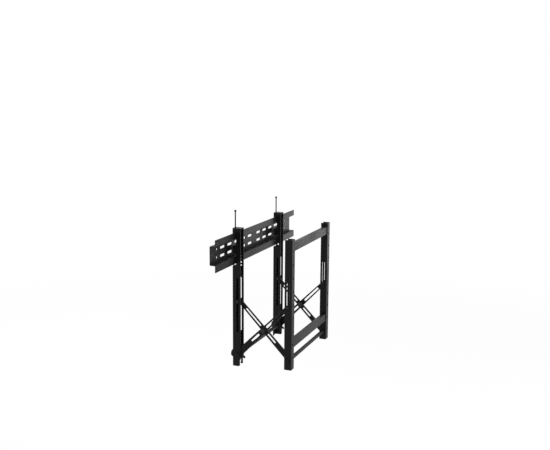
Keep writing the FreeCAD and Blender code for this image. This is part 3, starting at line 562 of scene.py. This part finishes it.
coated_plate = finish_material("coated_plate", COAT_BLACK, COAT_RUBBED, 0.4, specular=0.12, grain=1100.0,
                               depth=0.1 * MM, rub=0.85, rough_spread=0.14)
dress(coated_plate, "rail_catch_left", "rail_catch_right")
dress(zinc_steel, "catch_screws")
catch_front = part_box("catch_screws")[0].y
catch_z = middle("catch_screws")[2]
spots = [((side * bracket_x, catch_front - CROWN_GAP, catch_z), (0, -1, 0)) for side in (-1, 1)]
repeat("catch_screw_crowns", button_screw("button_head", CATCH_HEAD, CATCH_HEAD_RISE, SOCKET_DEPTH), spots,
       "wall_carriage", zinc_steel)

# Wall feet: turned steel discs with a knurled rim on short stems, faced with a rubber pad.
# They hold the brackets' lower ends off the wall and are set by hand, so the rim is ribbed for grip.
DISC_THICKNESS = 4 * MM
KNURL_COUNT = 44
KNURL_SIDES = 4
KNURL_WIDTH = 1.1 * MM
KNURL_SUNK = KNURL_WIDTH * 0.55
KNURL_LENGTH = DISC_THICKNESS * 0.8
PAD_LIP = 0.35 * MM
PAD_LIP_SHARES = (0.3, 0.7)
ROUND_SECTION = 8
BEAD_FLAT = 0.8
rubber = finish_material("foot_rubber", (0.012, 0.012, 0.012, 1), (0.03, 0.03, 0.03, 1), 0.78,
                         specular=0.3, grain=1900.0, depth=0.12 * MM, rub=0.35)


def knurl_tree():
    """Ribs set round a circle, each a small bar along the circle's axis."""
    tree, inputs, outputs = geometry_tree("knurl", [
        ("Radius", "NodeSocketFloat", 1.0), ("Length", "NodeSocketFloat", KNURL_LENGTH),
        ("Width", "NodeSocketFloat", KNURL_WIDTH), ("Count", "NodeSocketInt", KNURL_COUNT),
        ("Finish", "NodeSocketMaterial", None), ("Centre", "NodeSocketVector", (0, 0, 0)),
    ])
    hoop = add_node(tree, "GeometryNodeMeshCircle", fill_type="NONE")
    tree.links.new(inputs.outputs["Count"], hoop.inputs["Vertices"])
    tree.links.new(inputs.outputs["Radius"], hoop.inputs["Radius"])
    rib = add_node(tree, "GeometryNodeMeshCone")
    rib.inputs["Vertices"].default_value = KNURL_SIDES
    tree.links.new(inputs.outputs["Width"], rib.inputs["Radius Bottom"])
    tree.links.new(inputs.outputs["Width"], rib.inputs["Radius Top"])
    tree.links.new(inputs.outputs["Length"], rib.inputs["Depth"])
    place = add_node(tree, "GeometryNodeInstanceOnPoints")
    where = add_node(tree, "GeometryNodeInputPosition")
    aim = add_node(tree, "FunctionNodeAlignRotationToVector", axis="X")
    tree.links.new(where.outputs[0], aim.inputs["Vector"])
    tree.links.new(hoop.outputs[0], place.inputs["Points"])
    tree.links.new(rib.outputs[0], place.inputs["Instance"])
    tree.links.new(aim.outputs["Rotation"], place.inputs["Rotation"])
    solid = add_node(tree, "GeometryNodeRealizeInstances")
    tree.links.new(place.outputs[0], solid.inputs[0])
    stand = add_node(tree, "GeometryNodeTransform")
    stand.inputs["Rotation"].default_value = (math.pi / 2, 0, 0)
    tree.links.new(solid.outputs[0], stand.inputs["Geometry"])
    tree.links.new(inputs.outputs["Centre"], stand.inputs["Translation"])
    painted = add_node(tree, "GeometryNodeSetMaterial")
    tree.links.new(stand.outputs[0], painted.inputs["Geometry"])
    tree.links.new(inputs.outputs["Finish"], painted.inputs["Material"])
    tree.links.new(painted.outputs[0], outputs.inputs["Geometry"])
    return tree


def bead_mesh(title, reach, thick, ripples=0, swell=0.0, around=48):
    """A ring about Z with a round section that swells and shrinks with each ripple."""
    work = bmesh.new()
    rows = []
    for step in range(around):
        angle = 2 * math.pi * step / around
        here = thick * (1 + swell * math.cos(ripples * angle))
        row = []
        for corner in range(ROUND_SECTION):
            turn = 2 * math.pi * corner / ROUND_SECTION
            out = reach + here * BEAD_FLAT * math.cos(turn)
            row.append(work.verts.new(round_point(out, angle, here * math.sin(turn))))
        rows.append(row)
    join_rows(work, rows, looped=True)
    return finished_mesh(title, work, smooth=True)


knurl = knurl_tree()
dress(zinc_steel, "foot_left", "foot_right")
dress(rubber, "foot_pad_left", "foot_pad_right")
for label in ("left", "right"):
    low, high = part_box("foot_" + label)
    disc_radius = (high.z - low.z) / 2
    pad_low, pad_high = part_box("foot_pad_" + label)
    x, _, z = middle("foot_" + label)
    centre = Vector((x, pad_low.y - (DISC_THICKNESS - KNURL_LENGTH) / 2, z))
    piece = spots_object("foot_knurl_" + label, [((0, 0, 0), (0, 0, 1))])
    bake(piece, knurl, {"Radius": disc_radius - KNURL_SUNK, "Length": KNURL_LENGTH,
                        "Width": KNURL_WIDTH, "Count": KNURL_COUNT, "Finish": zinc_steel,
                        "Centre": centre})
    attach(piece, "foot_" + label)
    pad_radius = (pad_high.z - pad_low.z) / 2
    lips = [((x, pad_low.y + share * (pad_high.y - pad_low.y), z), (0, 1, 0)) for share in PAD_LIP_SHARES]
    repeat("foot_pad_lips_" + label, bead_mesh("pad_lip", pad_radius, PAD_LIP), lips,
           "foot_" + label, rubber)

# Scissor arms: flat coated links welded to their torque tubes, pinned together at the middle.
# Bead welds ring each tube where it meets a link; dished plugs close the tubes' ends.
dress(coated_plate, "outer_arm_left", "outer_arm_right", "inner_arm_left", "inner_arm_right",
      "wall_torque_tube", "display_torque_tube")
dress(zinc_steel, "wall_roller_pins", "display_roller_pins")
nylon = finish_material("bush_nylon", (0.0075, 0.0075, 0.0078, 1), (0.03, 0.03, 0.03, 1), 0.5,
                        specular=0.14, grain=900.0, depth=0.02 * MM, rub=0.3)
dress(nylon, "wall_bushes", "display_bushes", "mid_spacers", "wall_rollers", "display_rollers")
TUBE_RADIUS = 7.5 * MM
BEAD_RADIUS = 1.5 * MM
BEAD_RIPPLES = 26
BEAD_SWELL = 0.16
STEPS_PER_RIPPLE = 4
PLUG_STEM = 5.4 * MM
PLUG_DEPTH = 4 * MM
PLUG_SUNK = 0.2 * MM
PLUG_FLANGE = TUBE_RADIUS * 0.98
PLUG_RIM = TUBE_RADIUS * 0.86
PLUG_RIM_RISE = 1.5 * MM
PLUG_DISH_RISE = 0.9 * MM
PLUG_DISH = (3.2 * MM, 2.6 * MM)
PLUG_STEPS = 28
plug_profile = [(0, -PLUG_DEPTH), (PLUG_STEM, -PLUG_DEPTH), (PLUG_STEM, -PLUG_SUNK),
                (PLUG_FLANGE, -PLUG_SUNK), (PLUG_FLANGE, PLUG_DISH_RISE), (PLUG_RIM, PLUG_RIM_RISE),
                (PLUG_DISH[0], PLUG_RIM_RISE), (PLUG_DISH[1], PLUG_DISH_RISE), (0, PLUG_DISH_RISE)]
for tube, arms, body in (("wall_torque_tube", "outer_arm", "outer_arms"),
                         ("display_torque_tube", "inner_arm", "inner_arms")):
    low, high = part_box(tube)
    _, y, z = middle(tube)
    spots = []
    for label in ("left", "right"):
        plate_low, plate_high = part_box(f"{arms}_{label}")
        spots.append(((plate_low.x, y, z), (-1, 0, 0)))
        spots.append(((plate_high.x, y, z), (1, 0, 0)))
    weld = bead_mesh("weld_bead", TUBE_RADIUS, BEAD_RADIUS, BEAD_RIPPLES, BEAD_SWELL,
                     BEAD_RIPPLES * STEPS_PER_RIPPLE)
    repeat(arms + "_welds", weld, spots, body, coated_plate)
    ends = [((low.x, y, z), (-1, 0, 0)), ((high.x, y, z), (1, 0, 0))]
    repeat(tube + "_plugs", turned_shape("tube_plug", plug_profile, PLUG_STEPS), ends, body, nylon)

# Middle pins: turned steel pins through each pair of arms, their ends swaged over to flat heads.
# The punch leaves a shallow cup in the middle of each head; the rims are broken by a small chamfer.
PIN_HEAD_THICKNESS = 1.5 * MM
PIN_SHANK = 6 * MM
PIN_CHAMFER = (0.5 * MM, 0.45 * MM)
PIN_STEPS = 40
CUP_DEPTH = 0.8 * MM
CUP_FLOOR = 2.6 * MM
CUP_LIP = (3.8 * MM, 0.1 * MM)
CUP_MOUTH = 4.2 * MM
pin_low, pin_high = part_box("mid_pins")
pin_end = pin_high.x - bracket_x
pin_head = (pin_high.z - pin_low.z) / 2
under_head = pin_end - PIN_HEAD_THICKNESS
end_profile = [(0, pin_end - CUP_DEPTH), (CUP_FLOOR, pin_end - CUP_DEPTH), (CUP_LIP[0], pin_end - CUP_LIP[1]),
               (CUP_MOUTH, pin_end), (pin_head - PIN_CHAMFER[0], pin_end),
               (pin_head, pin_end - PIN_CHAMFER[1]), (pin_head, under_head), (PIN_SHANK, under_head)]
pin_profile = end_profile + [(radius, -height) for radius, height in reversed(end_profile)]
_, pin_y, pin_z = middle("mid_pins")
spots = [((side * bracket_x, pin_y, pin_z), (1, 0, 0)) for side in (-1, 1)]
swaged_pins = repeat("mid_pins_swaged", turned_shape("swaged_pin", pin_profile, PIN_STEPS), spots,
                     "outer_arms", zinc_steel)
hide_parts("mid_pins")

# Moulded faces: the nylon bushes and rollers carry a raised rim and short ribs on their flanges.
# The ribs keep the flange stiff and hold a little grease where it runs against the steel.
FACE_RIBS = 12
FACE_STEPS = 48
FACE_RISE = 0.35 * MM
FACE_SUNK = 0.1 * MM
FACE_INSET = 0.3 * MM
RIM_WIDTH = 0.5 * MM
RIM_SLOPE = 0.1 * MM
RIB_HALF_WIDTH = 0.3 * MM
RIB_TOP_SHARE = 0.7
RIB_RISE = FACE_RISE * 0.9
RIB_END = RIM_WIDTH * 0.7
BUSH_RIB_START = 9.1 * MM
ROLLER_RIB_START = 4.9 * MM


def moulded_face(title, inner, outer):
    """A thin raised rim about Z with short ribs inside it, standing on a flange."""
    work = bmesh.new()
    rim_outline = ((outer - RIM_WIDTH, -FACE_SUNK), (outer, -FACE_SUNK), (outer - RIM_SLOPE, FACE_RISE),
                   (outer - RIM_WIDTH + RIM_SLOPE, FACE_RISE))
    rim = [[work.verts.new(round_point(radius, 2 * math.pi * step / FACE_STEPS, height))
            for radius, height in rim_outline] for step in range(FACE_STEPS)]
    join_rows(work, rim, looped=True)
    rib_outline = ((-1, -FACE_SUNK), (1, -FACE_SUNK), (RIB_TOP_SHARE, RIB_RISE), (-RIB_TOP_SHARE, RIB_RISE))
    for number in range(FACE_RIBS):
        angle = 2 * math.pi * number / FACE_RIBS
        along = Vector((math.cos(angle), math.sin(angle), 0))
        across = Vector((-math.sin(angle), math.cos(angle), 0)) * RIB_HALF_WIDTH
        ends = [[work.verts.new(along * radius + across * wide + Vector((0, 0, height)))
                 for wide, height in rib_outline] for radius in (inner, outer - RIB_END)]
        join_rows(work, ends)
    return finished_mesh(title, work)


def both_ends(title, beyond=0.0):
    """Spots on both end faces of the piece that a CAD node has at each bracket, facing outward."""
    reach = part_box(title)[1].x - bracket_x + beyond
    _, y, z = middle(title)
    return [((side * bracket_x + face * reach, y, z), (face, 0, 0)) for side in (-1, 1) for face in (-1, 1)]


for moulded, body, inner in (("wall_bushes", "wall_carriage", BUSH_RIB_START),
                             ("display_bushes", "display_frame", BUSH_RIB_START),
                             ("wall_rollers", "inner_arms", ROLLER_RIB_START),
                             ("display_rollers", "outer_arms", ROLLER_RIB_START)):
    low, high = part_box(moulded)
    outer = (high.z - low.z) / 2 - FACE_INSET
    repeat(moulded + "_faces", moulded_face(moulded + "_face", inner, outer), both_ends(moulded), body,
           nylon)

# Clip rings: stamped spring-steel E-clips, of the kind that keeps a roller pin from walking out.
# One lies against the roller's flange just beyond each end of a pin, and doesn't grip it.
CLIP_OUTER = 4.6 * MM
CLIP_INNER = 2.3 * MM
CLIP_LUGS = 3
CLIP_LUG_RISE = 0.9 * MM
CLIP_THICKNESS = 0.8 * MM
CLIP_MOUTH = math.radians(70)
CLIP_STEPS = 30
CLIP_GAP = 0.02 * MM


def clip_mesh(title):
    """An open ring with three rounded inner lugs, flat on both sides."""
    work = bmesh.new()
    rows = []
    for step in range(CLIP_STEPS + 1):
        angle = CLIP_MOUTH / 2 + (2 * math.pi - CLIP_MOUTH) * step / CLIP_STEPS
        inner = CLIP_INNER + CLIP_LUG_RISE * (0.5 + 0.5 * math.cos(CLIP_LUGS * angle))
        outline = ((inner, 0), (CLIP_OUTER, 0), (CLIP_OUTER, CLIP_THICKNESS), (inner, CLIP_THICKNESS))
        rows.append([work.verts.new(round_point(radius, angle, height)) for radius, height in outline])
    join_rows(work, rows)
    return finished_mesh(title, work)


for pins, body in (("wall_roller_pins", "inner_arms"), ("display_roller_pins", "outer_arms")):
    repeat(pins + "_clips", clip_mesh("pin_clip"), both_ends(pins, CLIP_GAP), body, zinc_steel)

# Display frame: two coated channels with a ladder of bolt holes, tied by two shallow cross-bars.
# The cross-bars are held from inside the channels by flat button-head screws.
dress(coated_steel, "display_channel_left", "display_channel_right", "crossbar_high", "crossbar_low")
dress(zinc_steel, "strikers")
SCREW_HEAD = 5.0 * MM
SCREW_HEAD_RISE = 1.8 * MM
SCREW_SOCKET_DEPTH = 1.2 * MM
SCREW_SHANK = (3.0 * MM, 10.5 * MM)
BAR_SCREW_SHARES = (0.25, 0.75)
STRIKER_BEAD_REACH = 2.7 * MM
STRIKER_BEAD_RADIUS = 0.7 * MM
STRIKER_BEAD_RIPPLES = 11
STRIKER_BEAD_SWELL = 0.18
head_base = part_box("crossbar_screws")[1].x - SCREW_HEAD_RISE
screw_y = middle("crossbar_screws")[1]
spots = []
for bar in ("crossbar_high", "crossbar_low"):
    bar_low, bar_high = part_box(bar)
    for share in BAR_SCREW_SHARES:
        z = bar_low.z + share * (bar_high.z - bar_low.z)
        spots += [((side * head_base, screw_y, z), (side, 0, 0)) for side in (-1, 1)]
socket_screw = button_screw("bar_screw", SCREW_HEAD, SCREW_HEAD_RISE, SCREW_SOCKET_DEPTH, SCREW_SHANK)
bar_screws = repeat("crossbar_socket_screws", socket_screw, spots, "display_frame", zinc_steel)
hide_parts("crossbar_screws")
striker_bead = bead_mesh("striker_bead", STRIKER_BEAD_REACH, STRIKER_BEAD_RADIUS, STRIKER_BEAD_RIPPLES,
                         STRIKER_BEAD_SWELL, STRIKER_BEAD_RIPPLES * STEPS_PER_RIPPLE)
repeat("striker_welds", striker_bead, both_ends("strikers"), "display_frame", coated_plate)

# Spring latches: laser-cut hooks, each on a headed pin that comes through the bracket's outer wall.
# The nose and the end of the hanging tail are round. A small torsion spring is wound round the pin,
# with one end above the hook's top edge and clear of it, and the other beside the bracket's wall.
SPRING_WIRE = 0.36 * MM
SPRING_RADIUS = 4.2 * MM
SPRING_TURNS = 2.25
SPRING_PITCH = 0.78 * MM
STEPS_PER_TURN = 24
COIL_GAP = 0.5 * MM
HOOK_REACH = 6 * MM
HOOK_GAP = 0.1 * MM
LEG_DROP = 7 * MM
WALL_INSET = 2.6 * MM
# The wire's bends: out from the lever's face, towards the wall and up.
HOOK_BENDS = ((-3.5 * MM, 0, 0), (-0.4 * MM, 0, 0), (COIL_GAP, 0.6 * MM, 0), (COIL_GAP, 1.4 * MM, -0.3 * MM))
LEG_BENDS = ((0, 0, -6 * MM), (0.6 * MM, 0, -LEG_DROP))
dress(coated_plate, "latch_lever_left", "latch_lever_right")
dress(zinc_steel, "latch_pins")


def wire_mesh(title, path):
    """A round wire along a path, as one tube with closed ends and no twist."""
    work = bmesh.new()
    rows = []
    side = None
    for index, point in enumerate(path):
        before = path[max(index - 1, 0)]
        after = path[min(index + 1, len(path) - 1)]
        ahead = (after - before).normalized()
        if side is None:
            side = ahead.orthogonal()
        side = (side - ahead * side.dot(ahead)).normalized()
        up = ahead.cross(side)
        row = []
        for corner in range(ROUND_SECTION):
            turn = 2 * math.pi * corner / ROUND_SECTION
            row.append(work.verts.new(point + (side * math.cos(turn) + up * math.sin(turn)) * SPRING_WIRE))
        rows.append(row)
    join_rows(work, rows)
    return finished_mesh(title, work, smooth=True)


def bends(start, side, offsets):
    """Points of a wire at offsets from a start, mirrored for the left-hand side."""
    return [start + Vector((side * out, wallward, up)) for out, wallward, up in offsets]


_, pin_y, pin_z = middle("latch_pins")
for label, side in (("left", -1), ("right", 1)):
    lever_low, lever_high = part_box("latch_lever_" + label)
    wall_low, wall_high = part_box("bracket_" + label)
    face_x = lever_high.x if side > 0 else lever_low.x
    wall_x = (wall_high.x if side > 0 else wall_low.x) - side * WALL_INSET
    coil_x = face_x + side * COIL_GAP
    hook = Vector((face_x, pin_y - HOOK_REACH, lever_high.z + SPRING_WIRE + HOOK_GAP))
    path = bends(hook, side, HOOK_BENDS)
    for step in range(int(SPRING_TURNS * STEPS_PER_TURN) + 1):
        angle = 2 * math.pi * step / STEPS_PER_TURN
        path.append(Vector((coil_x + side * SPRING_PITCH * step / STEPS_PER_TURN,
                            pin_y + SPRING_RADIUS * math.sin(angle),
                            pin_z + SPRING_RADIUS * math.cos(angle))))
    last = path[-1]
    path += bends(last, side, LEG_BENDS)
    path.append(Vector((wall_x, last.y, last.z - LEG_DROP)))
    add_piece("latch_spring_" + label, wire_mesh("latch_spring_" + label, path), zinc_steel,
              "wall_carriage")
